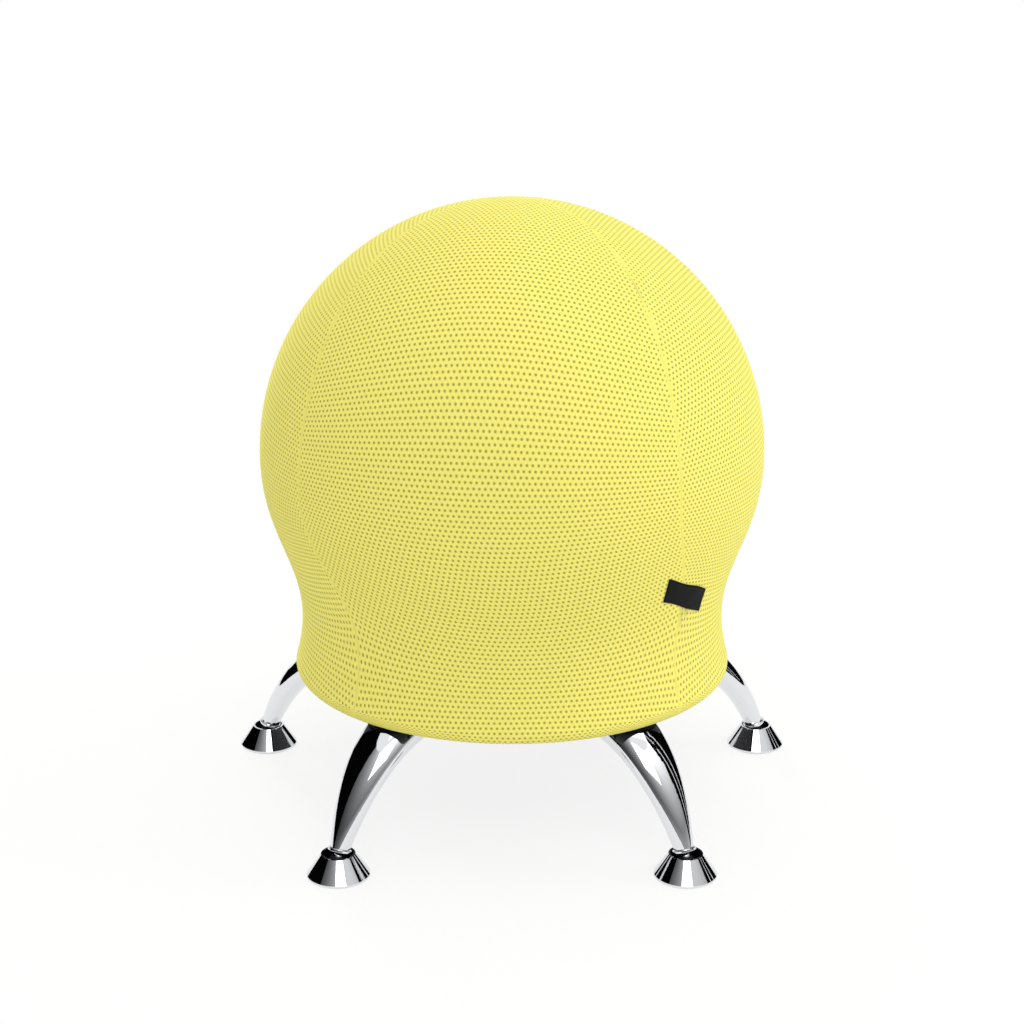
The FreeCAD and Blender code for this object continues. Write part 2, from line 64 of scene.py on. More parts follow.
# %% Read the sizes that the fabric has to meet
cover_low, cover_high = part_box("mesh_cover")
ring_low, ring_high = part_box("base_ring")
axis = Vector(((cover_low.x + cover_high.x) / 2, (cover_low.y + cover_high.y) / 2, 0))
cover_radius = (cover_high.x - cover_low.x) / 2
equator_height = cover_high.z - cover_radius
tube_radius = (ring_high.z - ring_low.z) / 2
ring_radius = (ring_high.x - ring_low.x) / 2 - tube_radius
ring_height = (ring_high.z + ring_low.z) / 2
bend_radius = ring_height - cover_low.z
print("cover radius", round(cover_radius, 4), "equator at", round(equator_height, 4))

# %% [markdown]
# ## The camera
#
# The view is level from side to side and looks down by about 17 degrees from 1.9 m away, which is
# how a standing photographer sees a low chair. It's set first, so that every later test render
# can be laid beside the reference.

# %% Place the camera
camera = bpy.data.objects.new("camera", bpy.data.cameras.new("camera"))
scene.collection.objects.link(camera)
camera.data.sensor_width = 36
camera.data.lens = 71.67
camera.location = axis + Vector((0, -1.9001, 0.8563))
camera.rotation_euler = Euler((math.radians(90 - 16.88), 0, 0))
scene.camera = camera
scene.view_settings.view_transform = "Standard"

# %% [markdown]
# ## Small helpers for finishes
#
# A finish is a small graph of nodes. One helper turns a written colour into Blender's linear
# colour, one starts a finish, and one adds a node with its settings and links, so that a graph
# reads from top to bottom like a recipe.

# %% Helpers for colour and nodes
def linear(hex_colour):
    """An sRGB colour such as #F4EC6E as linear red, green, blue and alpha."""
    parts = [int(hex_colour[i : i + 2], 16) / 255 for i in (1, 3, 5)]
    return [c / 12.92 if c <= 0.04045 else ((c + 0.055) / 1.055) ** 2.4 for c in parts] + [1.0]


def add(material, kind, sockets=None, **settings):
    """One node with its settings; a socket is given a value or another node's output."""
    node = material.node_tree.nodes.new("ShaderNode" + kind)
    for name, value in settings.items():
        setattr(node, name, value)
    for name, value in (sockets or {}).items():
        if isinstance(value, bpy.types.NodeSocket):
            material.node_tree.links.new(value, node.inputs[name])
        else:
            node.inputs[name].default_value = value
    return node


def start_finish(name, colour, roughness, **constants):
    """A new material and its surface shader, with the constants set on the shader's own sockets."""
    material = bpy.data.materials.new(name)
    material.use_nodes = True
    shader = material.node_tree.nodes["Principled BSDF"]
    shader.inputs["Base Color"].default_value = linear(colour)
    shader.inputs["Roughness"].default_value = roughness
    for socket, value in constants.items():
        shader.inputs[socket.replace("_", " ")].default_value = value
    return material, shader


def mix(material, share, first, second):
    """A colour between two colours, by a share of 0 to 1."""
    return add(material, "Mix", {0: share, 6: first, 7: second}, data_type="RGBA")


def noise(material, place, size, detail):
    """Soft noise in a piece's own space, with blots of about the given size."""
    sockets = {"Vector": place.outputs["Object"], "Scale": 1 / size, "Detail": detail}
    return add(material, "TexNoise", sockets)


def threads(material, vector, spacing, waviness, direction):
    """Parallel threads at a spacing, across one direction."""
    sockets = {"Vector": vector, "Scale": UNIT_WAVE / spacing, "Distortion": waviness, "Detail": 1.0}
    return add(material, "TexWave", sockets, bands_direction=direction)


def directly_seen(material):
    """1 where the camera sees a surface, straight, mirrored or through glass, and 0 elsewhere."""
    ray = add(material, "LightPath")
    seen = ray.outputs["Is Camera Ray"]
    for kind in ("Is Glossy Ray", "Is Transmission Ray"):
        seen = add(material, "Math", {0: seen, 1: ray.outputs[kind]}, operation="MAXIMUM").outputs[0]
    return seen


def feed(material, output, shader, socket):
    """Lead one node's output into a socket of the surface shader."""
    material.node_tree.links.new(output, shader.inputs[socket])


def dress(node, material):
    """Give a CAD node a finish in place of its flat colour."""
    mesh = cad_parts[node].data
    mesh.materials.clear()
    mesh.materials.append(material)

# %% [markdown]
# ## The stretched mesh fabric
#
# The cover is a warp-knitted polyester mesh, bright yellow, with small round holes in staggered
# rows. The holes are 2.3 mm wide and 5 mm apart in a row, and the rows are 4.6 mm apart. Real holes
# would take millions of faces, so they are drawn: one dot in each cell of a grid whose every other
# row is shifted by half a cell. The dot darkens the colour with painted shade, for the cloth seen
# through the hole lying in shadow, and sinks the surface a little. The grid follows the flat gore
# that the piece was cut from, through the cover's own UV map, where one unit is a metre of cloth.

# %% Make the mesh fabric's finish
mesh_fabric, shader = start_finish(
    "knitted_polyester_mesh_yellow", "#F6EE74", 0.82, Sheen_Weight=0.4, Sheen_Roughness=0.4
)
shader.inputs["Sheen Tint"].default_value = linear("#FFF98C")
shader.inputs["Specular IOR Level"].default_value = 0.25
hole_spacing, row_spacing, hole_radius = 5.0 * MM, 4.6 * MM, 1.15 * MM
cloth = add(mesh_fabric, "UVMap", uv_map="cloth")
flat = add(mesh_fabric, "SeparateXYZ", {"Vector": cloth.outputs[0]})
row = add(mesh_fabric, "Math", {0: flat.outputs[1], 1: row_spacing}, operation="DIVIDE")
row_number = add(mesh_fabric, "Math", {0: row.outputs[0]}, operation="FLOOR")
shift = add(mesh_fabric, "Math", {0: row_number.outputs[0], 1: 0.5}, operation="MULTIPLY")
column = add(
    mesh_fabric, "Math", {0: flat.outputs[0], 1: 1 / hole_spacing, 2: shift.outputs[0]},
    operation="MULTIPLY_ADD",
)
across = add(mesh_fabric, "Math", {0: column.outputs[0]}, operation="FRACT")
along = add(mesh_fabric, "Math", {0: row.outputs[0]}, operation="FRACT")
across_middle = add(mesh_fabric, "Math", {0: across.outputs[0], 1: 0.5}, operation="SUBTRACT")
along_middle = add(mesh_fabric, "Math", {0: along.outputs[0], 1: 0.5}, operation="SUBTRACT")
offset = add(mesh_fabric, "CombineXYZ", {0: across_middle.outputs[0], 1: along_middle.outputs[0]})
from_middle = add(
    mesh_fabric, "VectorMath", {0: offset.outputs[0], 1: (hole_spacing, row_spacing, 0)},
    operation="MULTIPLY",
)
distance = add(mesh_fabric, "VectorMath", {0: from_middle.outputs[0]}, operation="LENGTH")
# The edge of a hole is soft: it begins outside the radius and is full inside it.
hole = add(
    mesh_fabric, "MapRange",
    {0: distance.outputs["Value"], 1: 1.45 * hole_radius, 2: 0.55 * hole_radius},
    interpolation_type="SMOOTHSTEP",
)
# The yarn's stitches are about 0.5 mm apart, too fine to show, so they are drawn at 1.1 mm.
stitch = 1.1 * MM
stitches = add(
    mesh_fabric, "VectorMath", {0: cloth.outputs[0], 1: (1 / stitch, 1 / stitch, 0)},
    operation="MULTIPLY",
)
knit = add(mesh_fabric, "TexNoise", {"Vector": stitches.outputs[0], "Scale": 1.0, "Detail": 2.0})
yarn = mix(mesh_fabric, knit.outputs["Fac"], linear("#E3D95F"), linear("#FFF787"))
seam = add(mesh_fabric, "Attribute", attribute_name="seam")
seam_line = add(
    mesh_fabric, "MapRange", {0: seam.outputs["Fac"], 1: 0.0, 2: 1.6 * MM, 3: 0.3, 4: 0.0},
    interpolation_type="SMOOTHSTEP",
)
sewn = mix(mesh_fabric, seam_line.outputs[0], yarn.outputs[2], linear("#C9BF4E"))
clear_of_seam = add(mesh_fabric, "MapRange", {0: seam.outputs["Fac"], 1: 1.2 * MM, 2: 2.4 * MM})
open_hole = add(
    mesh_fabric, "Math", {0: hole.outputs[0], 1: clear_of_seam.outputs[0]}, operation="MULTIPLY"
)
# The dark olive in the holes is painted shade: it stands for the cloth behind each hole lying in shadow.
holes_painted_shade = mix(mesh_fabric, open_hole.outputs[0], sewn.outputs[2], linear("#A89C43"))
# Where the folds below the tag and the pucker on the seam lie, the colour is darkened towards a greyish
# olive: painted shade.
painted_crease_shade = add(mesh_fabric, "Attribute", attribute_name="painted_crease_shade")
shade = mix(mesh_fabric, painted_crease_shade.outputs["Fac"], holes_painted_shade.outputs[2], linear("#A39468"))
feed(mesh_fabric, shade.outputs[2], shader, "Base Color")
height = add(
    mesh_fabric, "Math", {0: knit.outputs["Fac"], 1: 0.12, 2: open_hole.outputs[0]},
    operation="MULTIPLY_ADD",
)
sunk = add(
    mesh_fabric, "Bump", {"Height": height.outputs[0], "Strength": 0.5, "Distance": 0.5 * MM},
    invert=True,
)
feed(mesh_fabric, sunk.outputs[0], shader, "Normal")

# %% [markdown]
# ## The cover
#
# A real cover of this kind is four long gores sewn together, pulled over the ball and turned under
# the base ring. Its half section is a quarter circle over the ball, a hollow side that flares out
# to the ring, and a tight turn round the ring's tube. It's drawn as a few Bezier pieces, which hold
# the true curves with hardly any points. Spinning that line by a quarter turn makes one gore, and
# the four gores are joined afterwards, so each keeps its own straight-grained pattern.

# %% Draw the cover's half section
def smooth_line(pieces):
    """Points along Bezier pieces: each is its start, two handles, its end and its number of steps."""
    curve = bpy.data.curves.new("line", "CURVE")
    curve.dimensions = "3D"
    for first, after, before, last, steps in pieces:
        spline = curve.splines.new("BEZIER")
        spline.resolution_u = steps
        spline.bezier_points.add(1)
        start, end = spline.bezier_points
        for point in (start, end):
            point.handle_left_type = point.handle_right_type = "FREE"
        start.co, start.handle_right, start.handle_left = first, after, first
        end.co, end.handle_left, end.handle_right = last, before, last
    holder = bpy.data.objects.new("line", curve)
    mesh = bpy.data.meshes.new_from_object(holder)
    bpy.data.objects.remove(holder)
    return mesh


def arc_piece(centre, radius, start_angle, end_angle, steps):
    """A Bezier piece along a circle in the half section, from one angle to another, in degrees."""
    start, end = math.radians(start_angle), math.radians(end_angle)
    pull = 4 / 3 * math.tan((end - start) / 4) * radius
    first = centre + Vector((math.cos(start), 0, math.sin(start))) * radius
    last = centre + Vector((math.cos(end), 0, math.sin(end))) * radius
    after = first + Vector((-math.sin(start), 0, math.cos(start))) * pull
    before = last - Vector((-math.sin(end), 0, math.cos(end))) * pull
    return first, after, before, last, steps


flare = 15.4
upper_pull, lower_pull, hem_reach = 85 * MM, 98 * MM, 10.5 * MM
ball_middle = Vector((0, 0, equator_height))
tube_middle = Vector((ring_radius, 0, ring_height))
crown = arc_piece(ball_middle, cover_radius, 90, 0, 44)
turn = arc_piece(tube_middle, bend_radius, flare, -90, 12)
flaring = Vector((math.sin(math.radians(flare)), 0, -math.cos(math.radians(flare))))
side = (crown[3], crown[3] - Vector((0, 0, upper_pull)), turn[0] - flaring * lower_pull, turn[0], 40)
hem_end = turn[3] - Vector((hem_reach, 0, 0))
hem = (turn[3], turn[3].lerp(hem_end, 1 / 3), turn[3].lerp(hem_end, 2 / 3), hem_end, 3)
half_section = smooth_line([crown, side, turn, hem])
print("half section points", len(half_section.vertices))

# %% [markdown]
# ## One gore, then four
#
# The spin runs in three stages: a few narrow steps next to each seam, where the cloth dips, and
# wider ones between. The distance down the gore is stored on the line's points first, because the
# spin copies it on to every point that it makes. How fast the gore widens there is stored too: flat
# cloth has straight rows, and laid on a round form they droop towards the seams where it widens.

# %% Spin one gore and lay out its cloth
gore_count = 4
gore_angle = 2 * math.pi / gore_count
seam_band = math.radians(2.4)
gores_turned = math.radians(-7.2)
bm = bmesh.new()
bm.from_mesh(half_section)
bmesh.ops.remove_doubles(bm, verts=bm.verts, dist=0.01 * MM)
down = bm.verts.layers.float.new("down")
widening = bm.verts.layers.float.new("widening")
end_points = [v for v in bm.verts if len(v.link_edges) == 1]
here = max(end_points, key=lambda v: v.co.z)
travelled, came_by = 0.0, None
while True:
    here[down] = travelled
    onward = [e for e in here.link_edges if e != came_by]
    if not onward:
        break
    came_by = onward[0]
    step = came_by.calc_length()
    onto = came_by.other_vert(here)
    onto[widening] = (onto.co.x - here.co.x) / step
    travelled += step
    here = onto
first_angle = -math.pi / 2 + gores_turned - gore_angle / 2
bmesh.ops.rotate(bm, cent=(0, 0, 0), matrix=Matrix.Rotation(first_angle, 3, "Z"), verts=bm.verts)
line = bm.verts[:] + bm.edges[:]
for angle, steps in ((seam_band, 6), (gore_angle - 2 * seam_band, 60), (seam_band, 6)):
    swept = bmesh.ops.spin(
        bm, geom=line, cent=(0, 0, 0), axis=(0, 0, 1), angle=angle, steps=steps, use_duplicate=False
    )
    line = swept["geom_last"]
bmesh.ops.remove_doubles(bm, verts=bm.verts, dist=0.01 * MM)
cloth_uv = bm.loops.layers.uv.new("cloth")
middle_angle = first_angle + gore_angle / 2
for face in bm.faces:
    for loop in face.loops:
        x, y, _ = loop.vert.co
        reach = math.hypot(x, y)
        around = (math.atan2(y, x) - middle_angle + math.pi) % (2 * math.pi) - math.pi
        rate = loop.vert[widening]
        across = reach * (around - rate * rate * (around - math.sin(around)))
        loop[cloth_uv].uv = (across, loop.vert[down] - reach * rate * (1 - math.cos(around)))

# %% [markdown]
# ## Joining, seams and slackness
#
# Three copies of the gore are turned into place and the edges merged. Then the cloth gets what
# sewing and stretching do to it. The seams dip by half a millimetre, and the point where they meet
# has slipped back over the ball's top by some degrees. From the ball's widest place
# down to the ring the whole cover is wrung round by a few degrees, as it is on the real one, where
# the seam doesn't fall straight. Below the sewn tag two small folds run down, and high on the same
# seam the stitches pull a short pucker; both are darkened with painted shade.

# %% Join the gores and let the cloth pull
gore = bm.verts[:] + bm.edges[:] + bm.faces[:]
for n in range(1, gore_count):
    copy = bmesh.ops.duplicate(bm, geom=gore)["geom"]
    turned = [g for g in copy if isinstance(g, bmesh.types.BMVert)]
    bmesh.ops.rotate(bm, cent=(0, 0, 0), matrix=Matrix.Rotation(gore_angle * n, 3, "Z"), verts=turned)
bmesh.ops.remove_doubles(bm, verts=bm.verts, dist=0.01 * MM)
bmesh.ops.recalc_face_normals(bm, faces=bm.faces)
seam_distance = bm.verts.layers.float.new("seam")
painted_crease_shade = bm.verts.layers.float.new("painted_crease_shade")
slipped_back = math.radians(9)
wring = math.radians(9)
wring_top, wring_end = equator_height, 203 * MM
tag_angle, tag_height = math.radians(-43.6), 245.8 * MM
pucker_angle, pucker_height = first_angle + gore_angle, 505 * MM


def ease(value):
    """A smooth step from 0 to 1."""
    value = min(max(value, 0.0), 1.0)
    return value * value * (3 - 2 * value)


def wrung(height):
    """How far the cover is turned about its axis at a height."""
    return wring * ease((wring_top - height) / (wring_top - wring_end))


def bell(distance, width):
    """1 at a line, falling off on both sides of it."""
    return math.exp(-((distance / width) ** 2))


for v in bm.verts:
    reach = math.hypot(v.co.x, v.co.y)
    angle = math.atan2(v.co.y, v.co.x)
    past_seam = (angle - first_angle) % gore_angle
    from_seam = min(past_seam, gore_angle - past_seam) * reach
    v[seam_distance] = from_seam
    dip = 0.5 * MM * bell(from_seam, 1.3 * MM) - 0.25 * MM * bell(from_seam - 5 * MM, 3 * MM)
    fade = ease(reach / (30 * MM)) * ease((v.co.z - ring_height) / (20 * MM))
    angle += wrung(v.co.z)
    # Painted shade along the pucker high on the seam, stored on the points.
    if abs(angle - pucker_angle) < math.radians(3):
        v[painted_crease_shade] = 0.7 * bell(v.co.z - pucker_height, 7 * MM) * bell(from_seam, 0.8 * MM)
    below = tag_height - 8 * MM - v.co.z
    if 0 < below < 60 * MM:
        aside = (angle - tag_angle - math.radians(1.5) - 0.05 * below / (40 * MM)) * reach
        fold = ease(below / (6 * MM)) * ease(1 - below / (42 * MM))
        # Painted shade along the two folds below the tag, stored on the points.
        v[painted_crease_shade] = 0.75 * fold * (bell(aside, 1.6 * MM) + 0.8 * bell(aside + 7 * MM, 1.4 * MM))
        dip += fold * (1.6 * MM * bell(aside, 2.2 * MM) - 0.8 * MM * bell(aside + 6 * MM, 3 * MM))
    reach -= dip * fade
    v.co.x, v.co.y = reach * math.cos(angle), reach * math.sin(angle)
    if v.co.z > equator_height:
        from_middle = v.co - ball_middle
        slip = slipped_back * ease(from_middle.z / (0.85 * cover_radius))
        v.co = ball_middle + Matrix.Rotation(-slip, 3, "X") @ from_middle
bmesh.ops.translate(bm, vec=axis, verts=bm.verts)


def face_towards(bm, direction):
    """Turn all the faces so that together they look along direction(face)."""
    bmesh.ops.recalc_face_normals(bm, faces=bm.faces)
    bm.normal_update()
    if sum(face.normal.dot(direction(face)) for face in bm.faces) < 0:
        bmesh.ops.reverse_faces(bm, faces=bm.faces)


def new_piece(name, bm, *materials, smooth=True):
    """Turn a bmesh into an object with its finishes, lying at the origin."""
    mesh = bpy.data.meshes.new(name)
    bm.to_mesh(mesh)
    bm.free()
    for material in materials:
        mesh.materials.append(material)
    for polygon in mesh.polygons:
        polygon.use_smooth = smooth
    piece = bpy.data.objects.new(name, mesh)
    scene.collection.objects.link(piece)
    print(name, len(mesh.polygons), "faces")
    return piece


def thicken(piece, thickness, offset=-1):
    """Give a sheet its thickness, inwards unless the offset says otherwise."""
    solidify = piece.modifiers.new("thickness", "SOLIDIFY")
    solidify.thickness = thickness
    solidify.offset = offset
    solidify.use_even_offset = True
    return solidify


cover = new_piece("stretched_cover", bm, mesh_fabric)
thicken(cover, 1.3 * MM)
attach(cover, "frame")
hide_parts("mesh_cover")

# %% [markdown]
# ## The sewn tag
#
# A narrow black satin-woven tag lies across the right-hand seam, askew, with its short edges
# upright. It's a strip of tightly woven ribbon with heat-cut ends, so it's a flat grid that is bent
# to the cover by moving its points out along the cover's own surface, with the middle standing a
# little clear.

# %% Make the ribbon's finish
ribbon, shader = start_finish("satin_woven_polyester_ribbon_black", "#060607", 0.7)
shader.inputs["Specular IOR Level"].default_value = 0.15
weave_place = add(ribbon, "UVMap", uv_map="cloth")
# Warp threads 0.25 mm apart are too fine to show, so the weave is drawn at 0.6 mm.
warp = threads(ribbon, weave_place.outputs[0], 0.6 * MM, 0.6, "Y")
weft = threads(ribbon, weave_place.outputs[0], 0.9 * MM, 0.4, "X")
weave = add(ribbon, "Math", {0: warp.outputs["Fac"], 1: weft.outputs["Fac"]}, operation="MULTIPLY")
tone = mix(ribbon, weave.outputs[0], linear("#040405"), linear("#0E0E10"))
feed(ribbon, tone.outputs[2], shader, "Base Color")
ribs = add(ribbon, "Bump", {"Height": weave.outputs[0], "Strength": 0.5, "Distance": 0.15 * MM})
feed(ribbon, ribs.outputs[0], shader, "Normal")

# %% Bend the tag on to the cover
above_ring = (v.co for v in half_section.vertices if v.co.z > ring_height)
section_points = sorted(((point.z, point.x) for point in above_ring), key=lambda pair: pair[0])


def cover_reach(height):
    """The cover's radius at a height on its side."""
    for (low, inner), (high, outer) in zip(section_points, section_points[1:]):
        if low <= height <= high:
            return inner + (outer - inner) * (height - low) / max(high - low, 1e-9)
    return section_points[-1][1]


tag_length, tag_breadth, tag_turn = 69.5 * MM, 21.5 * MM, math.radians(-23)
tag_lean = 0.5  # how far the short edges lean out of square, for each unit of breadth
bm = bmesh.new()
bmesh.ops.create_grid(bm, x_segments=34, y_segments=12, size=0.5)
bmesh.ops.scale(bm, vec=(tag_length, tag_breadth, 1), verts=bm.verts)
tag_uv = bm.loops.layers.uv.new("cloth")
for face in bm.faces:
    for loop in face.loops:
        loop[tag_uv].uv = loop.vert.co.xy
for v in bm.verts:
    along, up = v.co.x - tag_lean * v.co.y, v.co.y
    bow = math.sin(math.pi * (along / tag_length + 0.5))
    sag = 0.4 * MM * bow * (0.6 + 0.4 * math.sin(along / (6 * MM)))
    across = along * math.cos(tag_turn) - up * math.sin(tag_turn)
    curl = 1.2 * MM * math.sin(along / (9 * MM)) * (up / tag_breadth)
    height = tag_height + along * math.sin(tag_turn) + up * math.cos(tag_turn) + curl
    reach = cover_reach(height) + 0.9 * MM + sag
    angle = tag_angle + across / cover_reach(tag_height)
    v.co = (reach * math.cos(angle), reach * math.sin(angle), height)
face_towards(bm, lambda face: face.calc_center_median())
bmesh.ops.translate(bm, vec=axis, verts=bm.verts)
tag = new_piece("sewn_side_tag", bm, ribbon)
thicken(tag, 0.7 * MM)
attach(tag, "frame")
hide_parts("side_tag")

# %% [markdown]
# ## The fabric panel below
#
# A black woven disc closes the cover under the pan and is clamped between the pan and the leg
# flanges. It's one polyester cloth, stitched down round its rim, that hangs by a couple of
# millimetres in the middle. Its half section is spun all the way round, and a short zip lies on it
# at the back left, so the cover can be taken off.

# %% Make the woven panel's finish
panel_cloth, shader = start_finish("plain_woven_polyester_black", "#141416", 0.85, Sheen_Weight=0.12)
place = add(panel_cloth, "TexCoord")
# Threads 0.4 mm apart, drawn at 1.2 mm so that they show.
lengthwise = threads(panel_cloth, place.outputs["Object"], 1.2 * MM, 0.5, "X")
crossing = threads(panel_cloth, place.outputs["Object"], 1.2 * MM, 0.5, "Y")
woven = add(
    panel_cloth, "Math", {0: lengthwise.outputs["Fac"], 1: crossing.outputs["Fac"]},
    operation="MULTIPLY",
)
tone = mix(panel_cloth, woven.outputs[0], linear("#0D0D0F"), linear("#26262A"))
feed(panel_cloth, tone.outputs[2], shader, "Base Color")
grain = add(panel_cloth, "Bump", {"Height": woven.outputs[0], "Strength": 0.5, "Distance": 0.2 * MM})
feed(panel_cloth, grain.outputs[0], shader, "Normal")

# %% Spin the panel and its zip tape
panel_low, panel_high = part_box("bottom_panel")
panel_radius = (panel_high.x - panel_low.x) / 2
panel_top = panel_high.z - 0.3 * MM
bm = bmesh.new()
start = bm.verts.new((0, 0, panel_top - 2.5 * MM))
line = [start]
for reach, height in ((0.2, -2.3), (0.4, -1.2), (0.55, -0.2), (0.62, 0), (0.97, 0), (1.0, 0)):
    line.append(bm.verts.new((panel_radius * reach, 0, panel_top + height * MM)))
edges = [bm.edges.new(pair) for pair in zip(line, line[1:])]
bmesh.ops.spin(
    bm, geom=line + edges, cent=(0, 0, 0), axis=(0, 0, 1), angle=2 * math.pi, steps=96, use_merge=True
)
bmesh.ops.remove_doubles(bm, verts=bm.verts, dist=0.01 * MM)
face_towards(bm, lambda face: Vector((0, 0, 1)))
bmesh.ops.translate(bm, vec=axis, verts=bm.verts)
panel = new_piece("woven_bottom_panel", bm, panel_cloth)
thicken(panel, 0.9 * MM)
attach(panel, "frame")
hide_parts("bottom_panel")

tape_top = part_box("zip_tape")[1].z
zip_radius, zip_middle, zip_half = 188 * MM, math.radians(126), math.radians(24)
cut_width, tape_width = 10 * MM, 9 * MM  # the tape is cut 10 mm wide, and 9 mm of it show
bm = bmesh.new()
shares = (-0.5, -0.25, 0, 0.25, 0.5)
line = [bm.verts.new((zip_radius + tape_width * share, 0, tape_top)) for share in shares]
edges = [bm.edges.new(pair) for pair in zip(line, line[1:])]
bmesh.ops.rotate(bm, cent=(0, 0, 0), matrix=Matrix.Rotation(zip_middle - zip_half, 3, "Z"), verts=bm.verts)
bmesh.ops.spin(
    bm, geom=line + edges, cent=(0, 0, 0), axis=(0, 0, 1), angle=2 * zip_half, steps=48, use_duplicate=False
)
face_towards(bm, lambda face: Vector((0, 0, 1)))
bmesh.ops.translate(bm, vec=axis, verts=bm.verts)
tape = new_piece("woven_zip_tape", bm, panel_cloth)
thicken(tape, 0.5 * MM)
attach(tape, "frame")
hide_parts("zip_tape")

# %% [markdown]
# ## Bright chrome
#
# The legs and feet are steel, polished and plated with nickel and chrome. Chrome has no colour or
# pattern of its own worth painting: it looks like whatever stands round it. So it's a full metal
# with a slightly cool grey, very low roughness, and a faint unevenness in the polish.

# %% Make the metal finishes
chrome, shader = start_finish("polished_chrome_plate", "#E4E5E8", 0.04, Metallic=1.0)
place = add(chrome, "TexCoord")
# The buffing wheel leaves waves about 6 mm wide.
buffing = noise(chrome, place, 6 * MM, 2.0)
polish = add(chrome, "MapRange", {0: buffing.outputs["Fac"], 3: 0.03, 4: 0.07})
feed(chrome, polish.outputs[0], shader, "Roughness")
waves = add(chrome, "Bump", {"Height": buffing.outputs["Fac"], "Strength": 0.04, "Distance": 0.2 * MM})
feed(chrome, waves.outputs[0], shader, "Normal")

powder, shader = start_finish("powder_coated_steel_black", "#0B0B0C", 0.6, Specular_IOR_Level=0.25)
place = add(powder, "TexCoord")
# Powder coat dries in soft bumps about 0.8 mm wide.
orange_peel = noise(powder, place, 0.8 * MM, 1.0)
tone = mix(powder, orange_peel.outputs["Fac"], linear("#080809"), linear("#101012"))
feed(powder, tone.outputs[2], shader, "Base Color")
bumps = add(powder, "Bump", {"Height": orange_peel.outputs["Fac"], "Strength": 0.25, "Distance": 0.1 * MM})
feed(powder, bumps.outputs[0], shader, "Normal")

zinc, shader = start_finish("zinc_plated_steel", "#B9BDC2", 0.32, Metallic=1.0)
place = add(zinc, "TexCoord")
# Zinc crystals show as faint patches about 1.5 mm wide.
crystals = add(zinc, "TexVoronoi", {"Vector": place.outputs["Object"], "Scale": 1 / (1.5 * MM)})
patches = add(zinc, "MapRange", {0: crystals.outputs["Color"], 3: 0.25, 4: 0.42})
feed(zinc, patches.outputs[0], shader, "Roughness")
tone = mix(zinc, crystals.outputs["Distance"], linear("#AEB2B8"), linear("#C8CBD0"))
feed(zinc, tone.outputs[2], shader, "Base Color")

enamel, shader = start_finish("stoved_enamel_black", "#101011", 0.28)
place = add(enamel, "TexCoord")
chips = noise(enamel, place, 2 * MM, 3.0)
tone = mix(enamel, chips.outputs["Fac"], linear("#0C0C0D"), linear("#1A1A1C"))
feed(enamel, tone.outputs[2], shader, "Base Color")

# %% [markdown]
# ## Plastics, rubber and the ball's vinyl
#
# The moulded and cast pieces are mostly hidden, but each still gets its own finish: nylon with a
# fine mould grain, a matt rubber pad, a slightly glossy plug, and the ball's anthracite vinyl with
# the dusty bloom that such balls are packed with.

# %% Make the moulded finishes
nylon, shader = start_finish("moulded_nylon_black", "#141415", 0.5)
place = add(nylon, "TexCoord")
# Spark-eroded moulds leave a grain of about 0.4 mm.
mould_grain = noise(nylon, place, 0.4 * MM, 2.0)
tone = mix(nylon, mould_grain.outputs["Fac"], linear("#101011"), linear("#1B1B1D"))
feed(nylon, tone.outputs[2], shader, "Base Color")
grain = add(nylon, "Bump", {"Height": mould_grain.outputs["Fac"], "Strength": 0.2, "Distance": 0.05 * MM})
feed(nylon, grain.outputs[0], shader, "Normal")

rubber, shader = start_finish("moulded_rubber_black", "#0F0F0F", 0.8)
place = add(rubber, "TexCoord")
dust = noise(rubber, place, 5 * MM, 4.0)
tone = mix(rubber, dust.outputs["Fac"], linear("#0B0B0B"), linear("#1D1C1B"))
feed(rubber, tone.outputs[2], shader, "Base Color")

plug_plastic, shader = start_finish("moulded_polyethylene_white", "#E4E3DC", 0.4, Subsurface_Weight=0.1)
place = add(plug_plastic, "TexCoord")
flow = noise(plug_plastic, place, 3 * MM, 1.0)
tone = mix(plug_plastic, flow.outputs["Fac"], linear("#DCDBD3"), linear("#EDECE6"))
feed(plug_plastic, tone.outputs[2], shader, "Base Color")

vinyl, shader = start_finish("soft_vinyl_anthracite", "#2B2C2F", 0.5)
place = add(vinyl, "TexCoord")
bloom = noise(vinyl, place, 20 * MM, 5.0)
tone = mix(vinyl, bloom.outputs["Fac"], linear("#242528"), linear("#36373A"))
feed(vinyl, tone.outputs[2], shader, "Base Color")
skin = add(vinyl, "MapRange", {0: bloom.outputs["Fac"], 3: 0.42, 4: 0.6})
feed(vinyl, skin.outputs[0], shader, "Roughness")

# %% [markdown]
# ## Dressing the CAD nodes
#
# Each node's name says what it is, so a list from name to finish dresses them all. The loop stops
# with an error if a node is left without a finish, which is safer than finding it in a render.

# %% Dress every CAD node
finishes = {
    "ball": vinyl, "valve_seat": vinyl, "valve_plug": plug_plastic, "mesh_cover": mesh_fabric,
    "side_tag": ribbon, "bottom_panel": panel_cloth, "base_ring": powder, "base_pan": powder,
    "weld_nuts": zinc, "leg_bolts": zinc, "leg_washers": zinc, "zip_tape": panel_cloth,
    "zip_coil": nylon, "zip_slider": enamel, "zip_pull": enamel, "leg": chrome,
    "leg_flange": powder, "leg_insert": zinc, "foot_stem": chrome, "foot_cup": chrome,
    "foot_socket": nylon, "foot_pad": rubber,
}
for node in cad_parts:
    dress(node, finishes[node.rstrip("_12345")])
print("dressed", len(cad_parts), "nodes")

# %% [markdown]
# ## Floor and studio
#
# The floor is a wide white sheet. What the camera and the chrome see of it is nearly its own white,
# and a small share of it is lit normally, so the chair still has a soft shadow to stand on.

